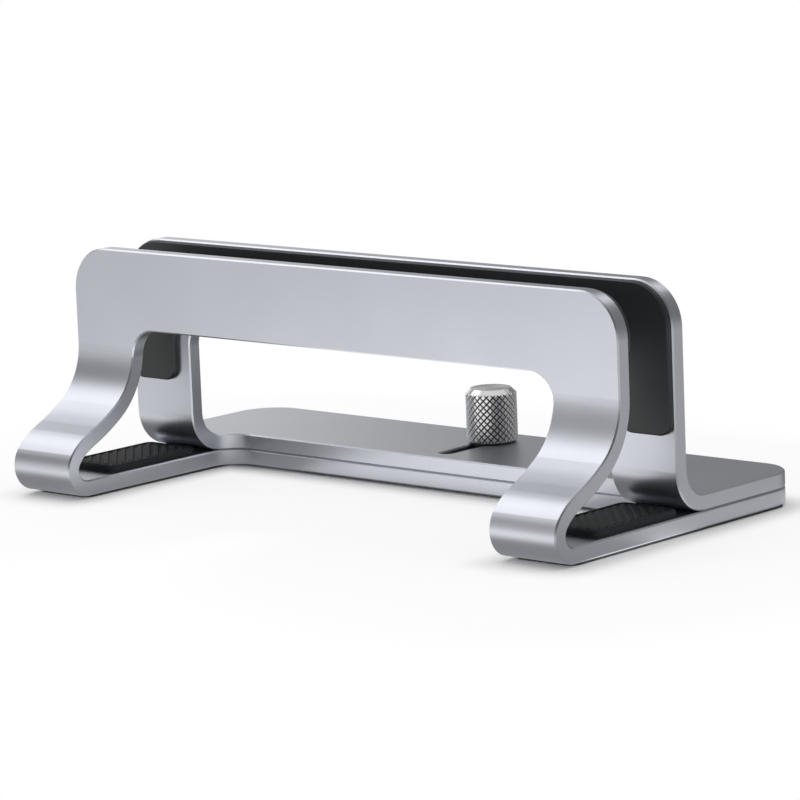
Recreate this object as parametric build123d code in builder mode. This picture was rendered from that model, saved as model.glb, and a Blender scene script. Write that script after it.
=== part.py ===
from build123d import *
from math import cos, pi, radians, sin
import os

# Vertical laptop stand: two bent aluminium brackets, one sliding on the other, with silicone pads
# and a knurled clamp knob. Millimetres, +Z up, the walls run along X and the front wall faces -Y.
# The origin is on the desk, under the middle of the footprint, with the slot at its narrowest.

# Overall sizes
stand_length = 200.0
stand_depth = 105.6
wall_height = 67.4
sheet = 4.5
edge_bevel = 0.4
corner_angle = 30.0

# Outline of both brackets. The window runs on past the rear wall's face, into both plates.
leg_width = 22.4
band_height = 22.7
window_run = 15.4
wall_corner_radius = 12.5
window_corner_radius = 8.0
plate_corner_radius = 12.0

# S-bend of the front legs, measured on their outer face from the wall down to the base.
# A tilt is how far the face leans back from upright.
knee_radius = 19.2
knee_tilt = 54.0
knee_ease_radius = 54.0
flank_tilt = 64.0
flank_length = 4.3
nose_ease_radius = 18.5
nose_tilt = 40.0
nose_radius = 7.65

# Bend of the rear bracket, measured on its outer face
rear_bend_radius = 12.0

# Slot for the laptop, wall to wall at its narrowest
slot_width = 18.3

# Silicone pads on the walls
pad_thickness = 1.6
pad_margin = 0.4
pad_window_margin = 4.7
pad_leg_bottom = 26.3
pad_foot_radius = 4.0
pad_edge_bevel = 0.45

# Rest pads under the laptop, with slanting ribs in a shallow pocket
rest_pad_width = 19.4
rest_pad_length = 34.4
rest_pad_thickness = 2.0
rest_pad_under_bend = 2.8
rest_pad_corner_radius = 2.5
rest_pad_bevel = 0.5
rim_width = 1.2
rib_margin = 0.6
rib_pitch = 2.4
rib_width = 1.6
rib_height = 0.35
rib_angle = 45.0
rib_draft = 40.0

# Anti-slip feet under the base
foot_height = 0.8
foot_side_inset = 1.0
foot_corner_radius = 3.0
foot_front_inset = 8.0
foot_rear_inset = 6.0

# Knurled clamp knob
knob_diameter = 14.6
knob_height = 15.1
knob_top_chamfer = 1.5
knob_bottom_chamfer = 0.4
knurl_pitch = 1.95
knurl_depth = 0.4

# Clamp screw, the slot and the thread that it runs in, and its washer
screw_to_rear_edge = 12.6
screw_diameter = 4.0
screw_grip = 8.0
screw_tip_chamfer = 0.5
screw_tip_inset = 0.4
thread_clearance = 0.05
press_clearance = 0.02
screw_slot_width = 4.5
screw_slot_end_clearance = 0.6
screw_slot_to_window = 5.25
washer_diameter = 13.2
washer_thickness = 0.5
washer_clearance = 0.15


def arc_fall(radius, tilt_a, tilt_b):
    """How far an arc of the leg goes down between two tilts."""
    return radius * abs(sin(radians(tilt_a)) - sin(radians(tilt_b)))


def arc_reach(radius, tilt_a, tilt_b):
    """How far an arc of the leg goes forward between two tilts."""
    return radius * abs(cos(radians(tilt_a)) - cos(radians(tilt_b)))


# Heights and stations that follow from the sizes
foot_reach = (
    arc_reach(knee_radius, 0, knee_tilt)
    + arc_reach(knee_ease_radius, knee_tilt, flank_tilt)
    + flank_length * sin(radians(flank_tilt))
    + arc_reach(nose_ease_radius, flank_tilt, nose_tilt)
    + arc_reach(nose_radius, nose_tilt, 0)
)
knee_height = (
    arc_fall(knee_radius, 0, knee_tilt)
    + arc_fall(knee_ease_radius, knee_tilt, flank_tilt)
    + flank_length * cos(radians(flank_tilt))
    + arc_fall(nose_ease_radius, flank_tilt, nose_tilt)
    + arc_fall(nose_radius, nose_tilt, -90)
)
front_y = -stand_depth / 2
rear_y = stand_depth / 2
base_z = foot_height
base_top_z = base_z + sheet
plate_top_z = base_top_z + sheet
top_z = base_z + wall_height
front_wall_y = front_y + foot_reach
front_wall_back_y = front_wall_y + sheet
rear_wall_y = front_wall_back_y + slot_width
slot_middle_y = front_wall_back_y + slot_width / 2
window_width = stand_length - 2 * leg_width
window_top_z = top_z - band_height
notch_y = rear_wall_y + window_run
leg_x = (stand_length - leg_width) / 2
screw_y = rear_y - screw_to_rear_edge
slot_front_y = notch_y + screw_slot_to_window + screw_slot_width / 2
slot_rear_y = screw_y + screw_slot_end_clearance
knob_z = plate_top_z + washer_thickness

os.makedirs("parts", exist_ok=True)


def window_outline(behind_y):
    """The opening between the legs, seen from the front, up to its rounded top corners."""
    with BuildSketch(Plane.XZ.offset(-behind_y)) as window:
        with Locations((0, window_top_z / 2)):
            Rectangle(window_width, window_top_z)
        fillet(window.vertices().group_by(Axis.Y)[-1], window_corner_radius)
    return window.sketch


def notch_outline(from_y, bottom_z):
    """The same opening where it runs on into a flat plate, seen from above."""
    with BuildSketch(Plane.XY.offset(bottom_z)) as notch:
        with Locations((0, (from_y + notch_y) / 2)):
            Rectangle(window_width, notch_y - from_y)
        fillet(notch.vertices().group_by(Axis.Y)[-1], window_corner_radius)
    return notch.sketch


def round_outer_corners(bracket):
    """Round the top corners of a bracket's wall and the rear corners of its plate."""
    fillet(bracket.edges().filter_by(Axis.Y).group_by(Axis.Z)[-1], wall_corner_radius)
    fillet(bracket.edges().filter_by(Axis.Z).group_by(Axis.Y)[-1], plate_corner_radius)


def sharp_edges(bracket):
    """The edges where two faces meet at a corner, without the smooth ends of bends."""
    corners = ShapeList()
    for edge in bracket.edges():
        middle = edge @ 0.5
        normals = [face.normal_at(middle) for face in bracket.faces() if edge in face.edges()]
        if len(normals) == 2 and normals[0].get_angle(normals[1]) > corner_angle:
            corners.append(edge)
    return corners


# Front bracket: base, U-bent feet, sloping legs and front wall, all one sheet
with BuildPart() as front_bracket:
    with BuildSketch(Plane.YZ):
        with BuildLine():
            wall = Line((front_wall_y, top_z), (front_wall_y, base_z + knee_height))
            knee = JernArc(wall @ 1, wall % 1, knee_radius, -knee_tilt)
            knee_ease = JernArc(knee @ 1, knee % 1, knee_ease_radius, knee_tilt - flank_tilt)
            flank = PolarLine(knee_ease @ 1, flank_length, direction=knee_ease % 1)
            nose_ease = JernArc(flank @ 1, flank % 1, nose_ease_radius, flank_tilt - nose_tilt)
            nose = JernArc(nose_ease @ 1, nose_ease % 1, nose_radius, nose_tilt + 90)
            Line(nose @ 1, (rear_y, base_z))
            offset(amount=sheet, side=Side.LEFT)
        make_face()
    extrude(amount=stand_length / 2, both=True)
    round_outer_corners(front_bracket)
    extrude(window_outline(slot_middle_y), amount=stand_depth, mode=Mode.SUBTRACT)
    extrude(notch_outline(slot_middle_y, base_z), amount=sheet, mode=Mode.SUBTRACT)
    chamfer(sharp_edges(front_bracket), edge_bevel)
    with Locations((0, screw_y, base_top_z)):
        Hole(screw_diameter / 2 + thread_clearance, depth=sheet)
front_bracket.part.label = "front_bracket"
export_step(front_bracket.part, "parts/front_bracket.step")

# Rear bracket: the sliding wall and its slotted plate, one sheet
with BuildPart() as rear_bracket:
    with BuildSketch(Plane.YZ):
        with BuildLine():
            FilletPolyline(
                (rear_wall_y, top_z),
                (rear_wall_y, base_top_z),
                (rear_y, base_top_z),
                radius=rear_bend_radius,
            )
            offset(amount=sheet, side=Side.LEFT)
        make_face()
    extrude(amount=stand_length / 2, both=True)
    round_outer_corners(rear_bracket)
    extrude(window_outline(rear_wall_y + sheet), amount=stand_depth, mode=Mode.SUBTRACT)
    extrude(notch_outline(rear_wall_y, base_top_z), amount=rear_bend_radius, mode=Mode.SUBTRACT)
    with BuildSketch(Plane.XY.offset(base_top_z)):
        with Locations((0, (slot_front_y + slot_rear_y) / 2)):
            SlotCenterToCenter(slot_rear_y - slot_front_y, screw_slot_width, rotation=90)
    extrude(amount=sheet, mode=Mode.SUBTRACT)
    chamfer(sharp_edges(rear_bracket), edge_bevel)
rear_bracket.part.label = "rear_bracket"
export_step(rear_bracket.part, "parts/rear_bracket.step")

# Front wall pad: a band behind the front wall, above the bend
pad_width = stand_length - 2 * pad_margin
pad_top_z = top_z - pad_margin
band_bottom_z = window_top_z + pad_window_margin
pad_top_radius = wall_corner_radius - pad_margin
with BuildPart() as front_wall_pad:
    with BuildSketch(Plane.XZ.offset(-front_wall_back_y)) as band:
        with Locations((0, (pad_top_z + band_bottom_z) / 2)):
            Rectangle(pad_width, pad_top_z - band_bottom_z)
        fillet(band.vertices().group_by(Axis.Y)[-1], pad_top_radius)
        fillet(band.vertices().group_by(Axis.Y)[0], pad_foot_radius)
    extrude(amount=-pad_thickness)
    chamfer(front_wall_pad.faces().sort_by(Axis.Y)[-1].edges(), pad_edge_bevel)
front_wall_pad.part.label = "front_wall_pad"
export_step(front_wall_pad.part, "parts/front_wall_pad.step")

# Rear wall pad: the same band in front of the rear wall, with a leg down each end
pad_leg_z = base_z + pad_leg_bottom
with BuildPart() as rear_wall_pad:
    with BuildSketch(Plane.XZ.offset(-rear_wall_y)) as arch:
        with Locations((0, (pad_top_z + pad_leg_z) / 2)):
            Rectangle(pad_width, pad_top_z - pad_leg_z)
        with Locations((0, (band_bottom_z + pad_leg_z) / 2)):
            Rectangle(window_width + 2 * pad_window_margin, band_bottom_z - pad_leg_z, mode=Mode.SUBTRACT)
        fillet(arch.vertices().group_by(Axis.Y)[1], window_corner_radius + pad_window_margin)
        fillet(arch.vertices().group_by(Axis.Y)[-1], pad_top_radius)
        fillet(arch.vertices().group_by(Axis.Y)[0], pad_foot_radius)
    extrude(amount=pad_thickness)
    chamfer(rear_wall_pad.faces().sort_by(Axis.Y)[0].edges(), pad_edge_bevel)
rear_wall_pad.part.label = "rear_wall_pad"
export_step(rear_wall_pad.part, "parts/rear_wall_pad.step")

# Rest pads: bevelled slabs on the feet, each with a rim round a pocket of slanting ribs
rest_pad_y = rear_wall_y + rest_pad_under_bend - rest_pad_length / 2
rest_pad_top_z = base_top_z + rest_pad_thickness


def rest_pad_outline(inset):
    """The outline of a rest pad, moved in from its edge."""
    with BuildSketch() as outline:
        RectangleRounded(
            rest_pad_width - 2 * inset, rest_pad_length - 2 * inset, rest_pad_corner_radius - inset
        )
    return outline.sketch


def rib_outlines():
    """Slanting bars, cut off where they come near the rim."""
    width = rest_pad_width - 2 * (rim_width + rib_margin)
    length = rest_pad_length - 2 * (rim_width + rib_margin)
    corner_to_corner = width * cos(radians(rib_angle)) + length * sin(radians(rib_angle))
    count = 1 + int((corner_to_corner - 2 * rib_width) / rib_pitch)
    with BuildSketch() as bars:
        with Locations(Location((0, 0, 0), (0, 0, rib_angle))):
            with GridLocations(rib_pitch, rest_pad_length, count, 1):
                Rectangle(rib_width, 2 * rest_pad_length)
        Rectangle(width, length, mode=Mode.INTERSECT)
    return bars.sketch


for side, x in (("left", -leg_x), ("right", leg_x)):
    with BuildPart() as rest_pad:
        extrude(Pos(x, rest_pad_y, base_top_z) * rest_pad_outline(0), amount=rest_pad_thickness)
        chamfer(rest_pad.edges().group_by(Axis.Z)[-1], rest_pad_bevel)
        pocket = Pos(x, rest_pad_y, rest_pad_top_z) * rest_pad_outline(rim_width)
        extrude(pocket, amount=-rib_height, mode=Mode.SUBTRACT)
        ribs = Pos(x, rest_pad_y, rest_pad_top_z - rib_height) * rib_outlines()
        extrude(ribs, amount=rib_height, taper=rib_draft)
    rest_pad.part.label = side + "_rest_pad"
    export_step(rest_pad.part, "parts/" + side + "_rest_pad.step")

# Anti-slip feet: one long strip under each side of the base
foot_width = leg_width - 2 * foot_side_inset
foot_length = stand_depth - foot_front_inset - foot_rear_inset
foot_y = (foot_front_inset - foot_rear_inset) / 2
for side, x in (("left", -leg_x), ("right", leg_x)):
    with BuildPart() as foot:
        with BuildSketch():
            with Locations((x, foot_y)):
                RectangleRounded(foot_width, foot_length, foot_corner_radius)
        extrude(amount=foot_height)
    foot.part.label = side + "_foot"
    export_step(foot.part, "parts/" + side + "_foot.step")


def knurled_blank():
    """A round bar on the screw's axis, covered in diamond points between crossing V-grooves."""
    around = round(pi * knob_diameter / knurl_pitch)
    rows = 2 * round(knob_height / knurl_pitch)
    half_turn = pi / around
    rise = knob_height / rows
    point_out = knob_diameter / 2
    groove_out = point_out - knurl_depth

    def point(out, step, row):
        turn = step * half_turn
        return Vector(out * cos(turn), screw_y + out * sin(turn), knob_z + row * rise)

    faces = []
    ends = {0: [], rows: []}
    for row in range(rows + 1):
        for column in range(around):
            step = 2 * column + row % 2
            top = point(point_out, step, row)
            left = point(groove_out, step - 1, row)
            right = point(groove_out, step + 1, row)
            for next_row in (row - 1, row + 1):
                if 0 <= next_row <= rows:
                    tip = point(groove_out, step, next_row)
                    faces.append(Face(Wire.make_polygon([left, top, tip])))
                    faces.append(Face(Wire.make_polygon([top, right, tip])))
            if row in ends:
                ends[row] += [left, top]
    faces += [Face(Wire.make_polygon(outline)) for outline in ends.values()]
    return Solid(Shell(faces))


# Clamp knob: knurled, with a turned chamfer at the top and a bore that the screw is pressed into
knob_radius = knob_diameter / 2
knob_top_z = knob_z + knob_height
screw_axis = Axis((0, screw_y, 0), (0, 0, 1))
with BuildPart() as clamp_knob:
    add(knurled_blank())
    with BuildSketch(Plane.XZ.offset(-screw_y)):
        with BuildLine():
            reach = knob_radius + knurl_depth
            Polyline(
                (0, knob_z),
                (knob_radius - knob_bottom_chamfer, knob_z),
                (reach, knob_z + knob_bottom_chamfer + knurl_depth),
                (reach, knob_top_z - knob_top_chamfer - knurl_depth),
                (knob_radius - knob_top_chamfer, knob_top_z),
                (0, knob_top_z),
                close=True,
            )
        make_face()
    revolve(axis=screw_axis, mode=Mode.INTERSECT)
    with BuildSketch(Plane.XY.offset(knob_z)):
        with Locations((0, screw_y)):
            Circle(screw_diameter / 2 + press_clearance)
    extrude(amount=screw_grip, mode=Mode.SUBTRACT)
clamp_knob.part.label = "clamp_knob"
export_step(clamp_knob.part, "parts/clamp_knob.step")

# Clamp screw: from the knob through the washer and the slot into the base
screw_bottom_z = base_z + screw_tip_inset
with BuildPart() as clamp_screw:
    with BuildSketch(Plane.XY.offset(screw_bottom_z)):
        with Locations((0, screw_y)):
            Circle(screw_diameter / 2)
    extrude(amount=knob_z + screw_grip - screw_bottom_z)
    chamfer(clamp_screw.edges().group_by(Axis.Z)[0], screw_tip_chamfer)
clamp_screw.part.label = "clamp_screw"
export_step(clamp_screw.part, "parts/clamp_screw.step")

# Washer between the knob and the sliding plate
with BuildPart() as knob_washer:
    with BuildSketch(Plane.XY.offset(plate_top_z)):
        with Locations((0, screw_y)):
            Circle(washer_diameter / 2)
            Circle(screw_diameter / 2 + washer_clearance, mode=Mode.SUBTRACT)
    extrude(amount=washer_thickness)
knob_washer.part.label = "knob_washer"
export_step(knob_washer.part, "parts/knob_washer.step")
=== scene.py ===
from math import cos, radians, sin, tau

import bmesh
import bpy
from mathutils import Matrix, Vector


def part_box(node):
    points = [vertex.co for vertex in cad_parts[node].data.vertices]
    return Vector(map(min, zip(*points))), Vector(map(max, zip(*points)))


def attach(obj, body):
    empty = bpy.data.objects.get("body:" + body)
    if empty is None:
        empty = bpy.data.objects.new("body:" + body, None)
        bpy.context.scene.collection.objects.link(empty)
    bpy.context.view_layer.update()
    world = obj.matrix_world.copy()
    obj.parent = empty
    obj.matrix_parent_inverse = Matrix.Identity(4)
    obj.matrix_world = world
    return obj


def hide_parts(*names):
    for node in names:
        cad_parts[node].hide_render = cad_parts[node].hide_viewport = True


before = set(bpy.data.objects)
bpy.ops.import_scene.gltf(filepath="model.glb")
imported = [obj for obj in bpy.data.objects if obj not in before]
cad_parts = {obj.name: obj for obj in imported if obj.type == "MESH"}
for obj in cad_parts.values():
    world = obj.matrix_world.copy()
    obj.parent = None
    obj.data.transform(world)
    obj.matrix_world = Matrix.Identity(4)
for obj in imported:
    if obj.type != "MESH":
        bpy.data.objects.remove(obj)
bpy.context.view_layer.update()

# Camera, fitted to the photograph
CAMERA_PLACE = Vector((0.79461, -0.88115, 0.23288))
CAMERA_AZIMUTH = radians(41.996)
CAMERA_ELEVATION = radians(9.80)
CAMERA_ROLL = radians(2.29)
CAMERA_LENS = 195.24
CAMERA_SENSOR = 36.0

# Light, and the floor round the object's footprint
STAGE_CENTRE = Vector((0.0, 0.0, 0.03))
WORLD_LIGHT = 0.9
LAMP_POWER = 3.2
LAMP_SIZE = (1.15, 0.55)
LAMP_DISTANCE = 1.2
FLOOR_HALF_SIZE = 9.0
FLOOR_GREY = 0.92
FLOOR_NEAR_WHITE = 0.7
FLOOR_NEAR_FADE = 0.012
FLOOR_FAR_FADE = 0.10
CARD_COLUMNS = 48
CARD_ROWS = 32

# Knob
KNURL_AROUND = 24
KNURL_ROWS = 8
KNURL_DEPTH = 0.00042
GROOVE_SHARE = 0.17
KNOB_TOP_CHAMFER = 0.0015
KNOB_BOTTOM_CHAMFER = 0.0004
KNOB_BORE = 0.00202
KNOB_BORE_DEPTH = 0.008
TURNED_RING_PITCH = 0.0007

scene = bpy.context.scene
scene.view_settings.view_transform = "Standard"


def left_of_front(azimuth, elevation):
    """A direction given as degrees left of the front (-Y) and degrees above the horizon."""
    a, e = radians(azimuth), radians(elevation)
    return Vector((-sin(a) * cos(e), -cos(a) * cos(e), sin(e)))


# Camera

def make_camera():
    data = bpy.data.cameras.new("camera")
    data.lens = CAMERA_LENS
    data.sensor_fit = "HORIZONTAL"
    data.sensor_width = CAMERA_SENSOR
    data.clip_start = 0.05
    data.clip_end = 50
    camera = bpy.data.objects.new("camera", data)
    scene.collection.objects.link(camera)
    a, e = CAMERA_AZIMUTH, CAMERA_ELEVATION
    forward = Vector((-sin(a) * cos(e), cos(a) * cos(e), -sin(e)))
    level_right = Vector((cos(a), sin(a), 0))
    level_up = level_right.cross(forward)
    right = level_right * cos(CAMERA_ROLL) - level_up * sin(CAMERA_ROLL)
    up = right.cross(forward)
    turn = Matrix((right, up, -forward)).transposed().to_4x4()
    camera.matrix_world = Matrix.Translation(CAMERA_PLACE) @ turn
    scene.camera = camera


# Shader helpers

class Shader:
    """A node tree with short calls to add and link its nodes."""

    def __init__(self, tree):
        self.tree = tree
        self.nodes = tree.nodes
        self.links = tree.links

    def add(self, kind, inputs=None, **settings):
        node = self.nodes.new(kind)
        for name, value in settings.items():
            setattr(node, name, value)
        for name, value in (inputs or {}).items():
            if isinstance(value, bpy.types.NodeSocket):
                self.links.new(value, node.inputs[name])
            else:
                node.inputs[name].default_value = value
        return node

    def math(self, operation, a, b=0.0):
        return self.add("ShaderNodeMath", {0: a, 1: b}, operation=operation).outputs[0]

    def spread(self, value, low, high, to_low, to_high, smooth=False):
        kind = "SMOOTHSTEP" if smooth else "LINEAR"
        node = self.add(
            "ShaderNodeMapRange",
            {"Value": value, "From Min": low, "From Max": high, "To Min": to_low, "To Max": to_high},
            interpolation_type=kind,
        )
        return node.outputs["Result"]

    def noise(self, where, scale, detail=2.0, roughness=0.5):
        inputs = {"Vector": where, "Scale": scale, "Detail": detail, "Roughness": roughness}
        return self.add("ShaderNodeTexNoise", inputs).outputs["Fac"]

    def blend(self, share, a, b):
        node = self.add("ShaderNodeMix", data_type="RGBA")
        for socket, value in ((node.inputs[0], share), (node.inputs[6], a), (node.inputs[7], b)):
            if isinstance(value, bpy.types.NodeSocket):
                self.links.new(value, socket)
            else:
                socket.default_value = value
        return node.outputs[2]


def new_material(name):
    material = bpy.data.materials.new(name)
    material.use_nodes = True
    shader = Shader(material.node_tree)
    surface = shader.nodes["Principled BSDF"]
    place = shader.add("ShaderNodeTexCoord").outputs["Object"]
    return material, shader, surface, place


def grey(level, warmth=0.0):
    return (level + warmth, level, level - warmth, 1.0)


# Materials

def anodised_sheet():
    """Bead-blasted and anodised aluminium: a fine even grain over a faint cloudiness."""
    material, s, surface, place = new_material("anodised_sheet")
    cloud = s.noise(place, 38.0, 3.0)
    grain = s.noise(place, 5200.0, 2.0, 0.6)
    tone = s.math("ADD", s.math("MULTIPLY", cloud, 0.65), s.math("MULTIPLY", grain, 0.35))
    dark, pale = (0.490, 0.502, 0.548, 1), (0.530, 0.542, 0.588, 1)
    colour = s.blend(s.spread(tone, 0.3, 0.7, 0.0, 1.0), dark, pale)
    s.links.new(colour, surface.inputs["Base Color"])
    s.links.new(s.spread(grain, 0.3, 0.7, 0.31, 0.37), surface.inputs["Roughness"])
    bump = s.add("ShaderNodeBump", {"Height": grain, "Strength": 0.04, "Distance": 0.00003})
    s.links.new(bump.outputs["Normal"], surface.inputs["Normal"])
    surface.inputs["Metallic"].default_value = 1.0
    return material


def silicone(name, level, shine=0.5, rough=0.36):
    """Matt moulded silicone with an eroded-mould texture and a little dust."""
    material, s, surface, place = new_material(name)
    grain = s.noise(place, 2400.0, 3.0, 0.6)
    dust = s.spread(s.noise(place, 120.0, 5.0, 0.7), 0.52, 0.78, 0.0, 0.35)
    colour = s.blend(dust, grey(level, -0.002), grey(level * 1.5, -0.002))
    s.links.new(colour, surface.inputs["Base Color"])
    s.links.new(s.spread(grain, 0.25, 0.75, rough, rough + 0.1), surface.inputs["Roughness"])
    bump = s.add("ShaderNodeBump", {"Height": grain, "Strength": 0.2, "Distance": 0.00006})
    s.links.new(bump.outputs["Normal"], surface.inputs["Normal"])
    surface.inputs["Specular IOR Level"].default_value = shine
    return material


def turned_metal(name, level, axis):
    """Bright turned metal: fine rings round an axis on the ends, and painted shade darkening the sunk grooves.
    """
    material, s, surface, place = new_material(name)
    back = (-axis[0], -axis[1], 0)
    from_axis = s.add("ShaderNodeVectorMath", {0: place, 1: back}, operation="ADD").outputs[0]
    flat = s.add("ShaderNodeVectorMath", {0: from_axis, 1: (1, 1, 0)}, operation="MULTIPLY").outputs[0]
    out = s.add("ShaderNodeVectorMath", {0: flat}, operation="LENGTH").outputs["Value"]
    ring = s.math("SINE", s.math("MULTIPLY", out, tau / TURNED_RING_PITCH))
    cloud = s.noise(place, 320.0, 3.0, 0.6)
    upright = s.add("ShaderNodeSeparateXYZ", {0: s.add("ShaderNodeTexCoord").outputs["Normal"]}).outputs["Z"]
    on_end = s.spread(s.math("ABSOLUTE", upright), 0.9, 0.99, 0.0, 1.0)
    sunk = s.add("ShaderNodeAttribute", attribute_name="sunk").outputs["Fac"]
    metal = s.blend(s.spread(cloud, 0.3, 0.7, 0.0, 1.0), grey(level * 0.94), grey(level * 1.04))
    # painted shade: the colour darkens towards the bottom of the knurl grooves, where shade falls
    colour = s.blend(s.spread(sunk, 0.2, 0.95, 0.0, 1.0), metal, grey(level * 0.16))
    s.links.new(colour, surface.inputs["Base Color"])
    s.links.new(s.spread(cloud, 0.3, 0.7, 0.2, 0.28), surface.inputs["Roughness"])
    height = s.math("MULTIPLY", ring, on_end)
    bump = s.add("ShaderNodeBump", {"Height": height, "Strength": 0.15, "Distance": 0.00002})
    s.links.new(bump.outputs["Normal"], surface.inputs["Normal"])
    turned = s.add("ShaderNodeTangent", direction_type="RADIAL", axis="Z")
    s.links.new(turned.outputs[0], surface.inputs["Tangent"])
    surface.inputs["Anisotropic"].default_value = 0.8
    surface.inputs["Anisotropic Rotation"].default_value = 0.25
    surface.inputs["Metallic"].default_value = 1.0
    return material


# Knob

def make_knob():
    """The knurled knob: flat-topped diamonds between crossing V-grooves, a turned chamfer and top."""
    low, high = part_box("clamp_knob")
    axis = Vector(((low.x + high.x) / 2, (low.y + high.y) / 2, 0))
    radius, height = (high.x - low.x) / 2, high.z - low.z
    groove = GROOVE_SHARE
    cuts = (0.0, 0.5 * groove, 0.85 * groove, 1.15 * groove, 0.34)
    steps = cuts + (0.5,) + tuple(1 - c for c in reversed(cuts))

    def depth(a, b):
        to_groove = min(min(c % 1.0, 1 - c % 1.0) for c in (a, b))
        return KNURL_DEPTH * max(0.0, 1 - to_groove / groove)

    mesh = bpy.data.meshes.new("knurled_knob")
    bm = bmesh.new()
    found = {}

    def vertex(a, b):
        turn = (a + b) / 2 % KNURL_AROUND
        up = (a - b) / 2
        key = (round(turn, 5) % KNURL_AROUND, round(up, 5))
        if key not in found:
            angle = turn * tau / KNURL_AROUND
            z = up / KNURL_ROWS * height
            out = radius - depth(a, b)
            found[key] = bm.verts.new((out * cos(angle), out * sin(angle), z))
        return found[key]

    for row in range(-1, 2 * KNURL_ROWS + 1):
        for column in range(KNURL_AROUND):
            i = column + (row + 1) // 2
            j = i - row
            for u0, u1 in zip(steps, steps[1:]):
                for v0, v1 in zip(steps, steps[1:]):
                    corners = (
                        vertex(i + u0, j + v0),
                        vertex(i + u1, j + v0),
                        vertex(i + u1, j + v1),
                        vertex(i + u0, j + v1),
                    )
                    if len(set(corners)) == 4:
                        bm.faces.new(corners)
    cut_level(bm, 0.0, -1, True)
    cut_level(bm, height, 1, True)
    for k in range(1, 11):
        cut_level(bm, height - k * KNOB_TOP_CHAMFER / 8, 1, False)
    for v in bm.verts:
        out = v.co.xy.length
        cone = min(radius - KNOB_TOP_CHAMFER + (height - v.co.z), radius - KNOB_BOTTOM_CHAMFER + v.co.z)
        if out > cone:
            v.co.xy = v.co.xy * (cone / out)
    top_rim = [e for e in bm.edges if e.is_boundary and min(v.co.z for v in e.verts) > height - 1e-6]
    bottom_rim = [e for e in bm.edges if e.is_boundary and max(v.co.z for v in e.verts) < 1e-6]
    for share in (0.6, 0.4):
        top_rim = draw_rim(bm, top_rim, share=share)
    close_rim(bm, top_rim)
    bottom_rim = draw_rim(bm, bottom_rim, radius=KNOB_BORE)
    bottom_rim = draw_rim(bm, bottom_rim, rise=KNOB_BORE_DEPTH)
    close_rim(bm, bottom_rim)
    bmesh.ops.recalc_face_normals(bm, faces=bm.faces)
    top_radius, bottom_radius = radius - KNOB_TOP_CHAMFER, radius - KNOB_BOTTOM_CHAMFER
    # how deep each point lies in a knurl groove, which sets the painted shade in the grooves
    sunk = bm.verts.layers.float.new("sunk")
    for v in bm.verts:
        out = v.co.xy.length
        skin = min(radius, top_radius + height - v.co.z, bottom_radius + v.co.z)
        v[sunk] = (skin - out) / KNURL_DEPTH if out > top_radius - KNURL_DEPTH else 0.0
    bmesh.ops.translate(bm, verts=bm.verts, vec=(axis.x, axis.y, low.z))
    bm.to_mesh(mesh)
    bm.free()
    mesh.shade_smooth()
    mesh.set_sharp_from_angle(angle=radians(32))
    true_turned_normals(mesh, axis, low.z + height, radius)
    knob = bpy.data.objects.new("knurled_knob", mesh)
    scene.collection.objects.link(knob)
    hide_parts("clamp_knob")
    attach(knob, "knob")
    mesh.materials.append(turned_metal("turned_knob", 0.68, axis))


def true_turned_normals(mesh, axis, top, radius):
    """Give the faces of the turned chamfer the normals of a true cone."""
    normals = [Vector(n.vector) for n in mesh.corner_normals]
    for polygon in mesh.polygons:
        places = [mesh.vertices[i].co - axis for i in polygon.vertices]
        off_cone = [abs(radius - KNOB_TOP_CHAMFER + top - p.z - p.xy.length) for p in places]
        if max(off_cone) < 2e-6 and polygon.normal.z < 0.95:
            for loop, p in zip(polygon.loop_indices, places):
                normals[loop] = Vector((p.x, p.y, p.xy.length)).normalized()
    mesh.normals_split_custom_set(normals)


def cut_level(bm, z, side, clear):
    """Cut the mesh along a level plane, and clear what is above it (side 1) or below it (side -1) if asked."""
    everything = bm.verts[:] + bm.edges[:] + bm.faces[:]
    bmesh.ops.bisect_plane(
        bm, geom=everything, plane_co=(0, 0, z), plane_no=(0, 0, side), clear_outer=clear, dist=1e-7
    )


def draw_rim(bm, rim, share=None, radius=None, rise=0.0):
    """Add a ring of faces at a round rim, drawn in or up, and return its new rim."""
    made = bmesh.ops.extrude_edge_only(bm, edges=rim)["geom"]
    for v in made:
        if isinstance(v, bmesh.types.BMVert):
            if radius is not None:
                v.co.xy = v.co.xy * (radius / v.co.xy.length)
            elif share is not None:
                v.co.xy = v.co.xy * share
            v.co.z += rise
    return [g for g in made if isinstance(g, bmesh.types.BMEdge)]


def close_rim(bm, rim):
    """Close a round rim with a fan of triangles."""
    middle = bm.verts.new((0, 0, rim[0].verts[0].co.z))
    for edge in rim:
        bm.faces.new((*edge.verts, middle))


# Stage

def box_distance(s, place, low, high):
    """How far a point of the floor is from a box that is the same on the left and the right."""
    x, y, z = s.add("ShaderNodeSeparateXYZ", {0: place}).outputs
    across = s.math("SUBTRACT", s.math("ABSOLUTE", x), high[0])
    if low[0] > 0:
        across = s.math("MAXIMUM", across, s.math("SUBTRACT", low[0], s.math("ABSOLUTE", x)))
    along = s.math("MAXIMUM", s.math("SUBTRACT", low[1], y), s.math("SUBTRACT", y, high[1]))
    across, along = s.math("MAXIMUM", across, 0.0), s.math("MAXIMUM", along, 0.0)
    squares = s.math("ADD", s.math("MULTIPLY", across, across), s.math("MULTIPLY", along, along))
    return s.math("SQRT", squares)


def seen_directly(s):
    """1 for what the camera sees, also in reflections and through glass, and 0 for what lights the object."""
    path = s.add("ShaderNodeLightPath")
    seen = s.math("MAXIMUM", path.outputs["Is Camera Ray"], path.outputs["Is Glossy Ray"])
    return s.math("MAXIMUM", seen, path.outputs["Is Transmission Ray"])


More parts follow.
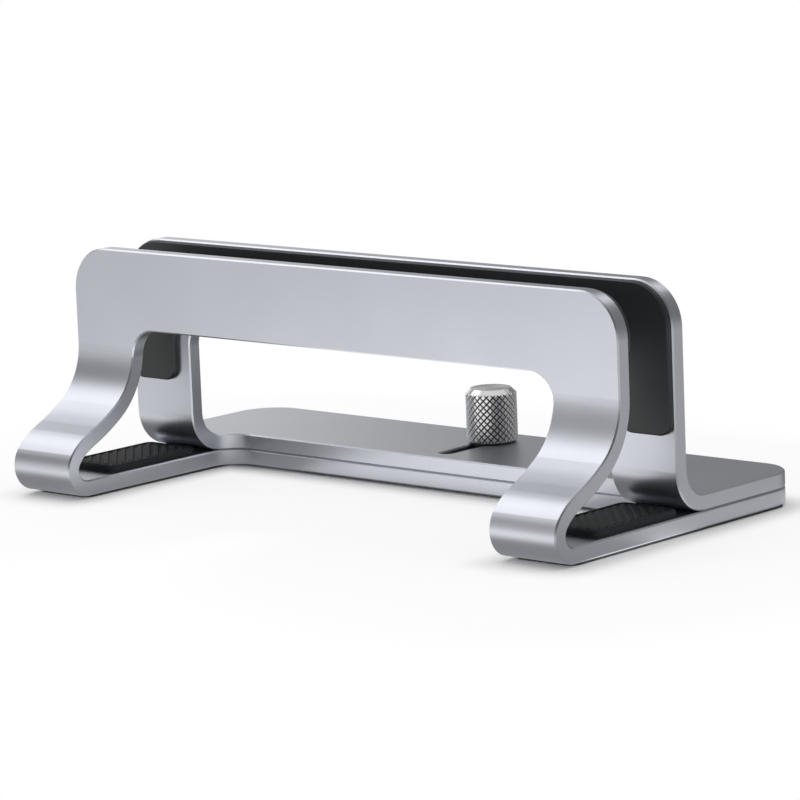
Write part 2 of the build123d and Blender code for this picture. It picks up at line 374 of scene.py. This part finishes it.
def make_floor():
    """A pale floor that turns plain white away from the object, for the camera and for reflections."""
    mesh = bpy.data.meshes.new("floor")
    r = FLOOR_HALF_SIZE
    mesh.from_pydata([(-r, -r, 0), (r, -r, 0), (r, r, 0), (-r, r, 0)], [], [(0, 1, 2, 3)])
    floor = bpy.data.objects.new("floor", mesh)
    scene.collection.objects.link(floor)
    material, s, surface, place = new_material("floor")
    surface.inputs["Base Color"].default_value = grey(FLOOR_GREY)
    surface.inputs["Roughness"].default_value = 0.7
    surface.inputs["Specular IOR Level"].default_value = 0.1
    low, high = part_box("front_bracket")
    pad_low, pad_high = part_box("right_rest_pad")
    legs = box_distance(s, place, (pad_low.x, low.y), (high.x, high.y))
    knob_low, knob_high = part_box("clamp_knob")
    plate_front = 2 * knob_low.y - high.y
    plate = box_distance(s, place, (low.x, plate_front), (high.x, high.y))
    out = s.math("MINIMUM", legs, plate)
    near = s.spread(out, 0.0, FLOOR_NEAR_FADE, 0.0, FLOOR_NEAR_WHITE, True)
    white_share = s.math("MAXIMUM", near, s.spread(out, 0.0, FLOOR_FAR_FADE, 0.0, 1.0, True))
    white_share = s.math("MULTIPLY", white_share, seen_directly(s))
    white = s.add("ShaderNodeEmission", {"Color": grey(1.0), "Strength": 1.0}).outputs[0]
    mix = s.add("ShaderNodeMixShader", {0: white_share, 1: surface.outputs[0], 2: white}).outputs[0]
    s.links.new(mix, s.nodes["Material Output"].inputs["Surface"])
    mesh.materials.append(material)


def make_world():
    world = bpy.data.worlds.new("studio")
    world.use_nodes = True
    scene.world = world
    s = Shader(world.node_tree)
    s.nodes.clear()
    light = s.add("ShaderNodeBackground", {"Color": grey(1.0), "Strength": WORLD_LIGHT}).outputs[0]
    white = s.add("ShaderNodeBackground", {"Color": grey(1.0), "Strength": 1.0}).outputs[0]
    mix = s.add("ShaderNodeMixShader", {0: seen_directly(s), 1: light, 2: white}).outputs[0]
    s.add("ShaderNodeOutputWorld", {"Surface": mix})


def fade_in(inside, soft):
    """How far a card has faded in at a distance inside its edge."""
    t = min(1.0, max(0.0, inside / soft))
    return t * t * (3 - 2 * t)


def make_card(name, level, soft, point, across, along):
    """A studio card that only reflections see. point(a, b) places it, and its edges fade over soft."""
    columns, rows = CARD_COLUMNS, CARD_ROWS
    points, fades, faces = [], [], []
    for r in range(rows + 1):
        for c in range(columns + 1):
            a = across[0] + (across[1] - across[0]) * c / columns
            b = along[0] + (along[1] - along[0]) * r / rows
            points.append(point(a, b))
            fade_a = fade_in(min(a - across[0], across[1] - a), soft[0])
            fade_b = fade_in(min(b - along[0], along[1] - b), soft[1])
            fades.append(fade_a * fade_b)
    for r in range(rows):
        for c in range(columns):
            i = r * (columns + 1) + c
            faces.append((i, i + 1, i + columns + 2, i + columns + 1))
    mesh = bpy.data.meshes.new(name)
    mesh.from_pydata(points, [], faces)
    mesh.attributes.new("fade", "FLOAT", "POINT").data.foreach_set("value", fades)
    mesh.shade_smooth()
    card = bpy.data.objects.new(name, mesh)
    scene.collection.objects.link(card)
    material = bpy.data.materials.new(name)
    material.use_nodes = True
    s = Shader(material.node_tree)
    s.nodes.clear()
    fade = s.add("ShaderNodeAttribute", attribute_name="fade").outputs["Fac"]
    clear = s.add("ShaderNodeBsdfTransparent").outputs[0]
    glow = s.add("ShaderNodeEmission", {"Color": grey(1.0), "Strength": level}).outputs[0]
    mix = s.add("ShaderNodeMixShader", {0: fade, 1: clear, 2: glow}).outputs[0]
    s.add("ShaderNodeOutputMaterial", {"Surface": mix})
    mesh.materials.append(material)
    card.visible_camera = False
    card.visible_diffuse = False
    card.visible_transmission = False
    card.visible_shadow = False


def standing_card(name, level, distance, azimuths, elevations, soft):
    """A curved card round the object, in degrees left of the front and degrees up."""

    def point(azimuth, elevation):
        return STAGE_CENTRE + left_of_front(azimuth, elevation) * distance

    make_card(name, level, soft, point, azimuths, elevations)


def lying_card(name, level, height, xs, ys, soft):
    """A flat card on the floor, in metres, that paints light or shade on the floor for reflections only."""
    make_card(name, level, soft, lambda x, y: Vector((x, y, height)), xs, ys)


def make_softbox():
    data = bpy.data.lights.new("softbox", "AREA")
    data.shape = "RECTANGLE"
    data.size, data.size_y = LAMP_SIZE
    data.energy = LAMP_POWER
    lamp = bpy.data.objects.new("softbox", data)
    scene.collection.objects.link(lamp)
    towards = left_of_front(83, 50)
    lamp.location = STAGE_CENTRE + towards * LAMP_DISTANCE
    lamp.rotation_mode = "QUATERNION"
    lamp.rotation_quaternion = towards.to_track_quat("Z", "Y")
    lamp.visible_glossy = False


make_camera()
make_world()
make_floor()
make_softbox()

# Each card has a name, a brightness, its distance or height, its two ranges, and how softly each fades
standing_card("front_band", 0.26, 1.60, (34, 114), (1, 38), (16, 12))
standing_card("right_band", 0.15, 1.62, (-130, 36), (-4, 60), (14, 10))
standing_card("back_band", 0.27, 1.55, (131, 276), (-8, 50), (13, 8))
standing_card("back_light", 1.80, 1.40, (161, 194), (34, 52), (8, 6))
standing_card("left_softbox", 2.25, 1.50, (53, 109), (32, 64), (5, 6))
standing_card("back_left_flag", 0.26, 1.45, (96, 150), (28, 64), (15, 8))
# The lying cards are painted light and painted shade on the floor that only reflections see: front_bounce is a
# painted bright floor, the flags and shades are painted darker floor, and the leg and toe shades stand for the
# shade next to the legs and toes
lying_card("front_bounce", 1.52, 0.00010, (-0.26, 0.24), (-0.5, 0.012), (0.2, 0.024))
lying_card("front_left_flag", 0.86, 0.00008, (-0.9, -0.2), (-0.7, -0.1), (0.1, 0.1))
lying_card("left_toe_shade", 0.40, 0.00020, (-0.15, -0.045), (-0.074, -0.03), (0.02, 0.016))
lying_card("right_toe_shade", 0.40, 0.00020, (0.04, 0.13), (-0.074, -0.03), (0.012, 0.016))
lying_card("left_leg_shade", 0.43, 0.00024, (-0.0895, -0.047), (-0.06, 0.0164), (0.012, 0.006))
lying_card("right_leg_shade", 0.24, 0.00026, (0.045, 0.0785), (-0.025, 0.012), (0.006, 0.006))
lying_card("left_floor_flag", 0.26, 0.00018, (-0.20, -0.0985), (-0.025, 0.14), (0.002, 0.015))
lying_card("right_floor_flag", 0.64, 0.00016, (0.1003, 0.9), (-0.09, 0.9), (0.003, 0.03))
lying_card("right_toe_flag", 0.42, 0.00022, (0.1003, 0.19), (-0.06, 0.0), (0.002, 0.02))
lying_card("rear_floor_flag", 0.25, 0.00014, (-0.1, 0.6), (0.056, 0.7), (0.02, 0.02))

make_knob()
sheet_metal = anodised_sheet()
wall_silicone = silicone("silicone", 0.015)
ribbed_silicone = silicone("ribbed_silicone", 0.02, 0.24, 0.6)
foot_rubber = silicone("foot_rubber", 0.012)
nylon = silicone("nylon", 0.014)
knob_low, knob_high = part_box("clamp_knob")
screw_steel = turned_metal("screw_steel", 0.5, (knob_low + knob_high) / 2)
dress = {
    "front_bracket": sheet_metal,
    "rear_bracket": sheet_metal,
    "front_wall_pad": wall_silicone,
    "rear_wall_pad": wall_silicone,
    "left_rest_pad": ribbed_silicone,
    "right_rest_pad": ribbed_silicone,
    "left_foot": foot_rubber,
    "right_foot": foot_rubber,
    "clamp_screw": screw_steel,
    "knob_washer": nylon,
}
for name, material in dress.items():
    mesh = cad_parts[name].data
    mesh.materials.clear()
    mesh.materials.append(material)
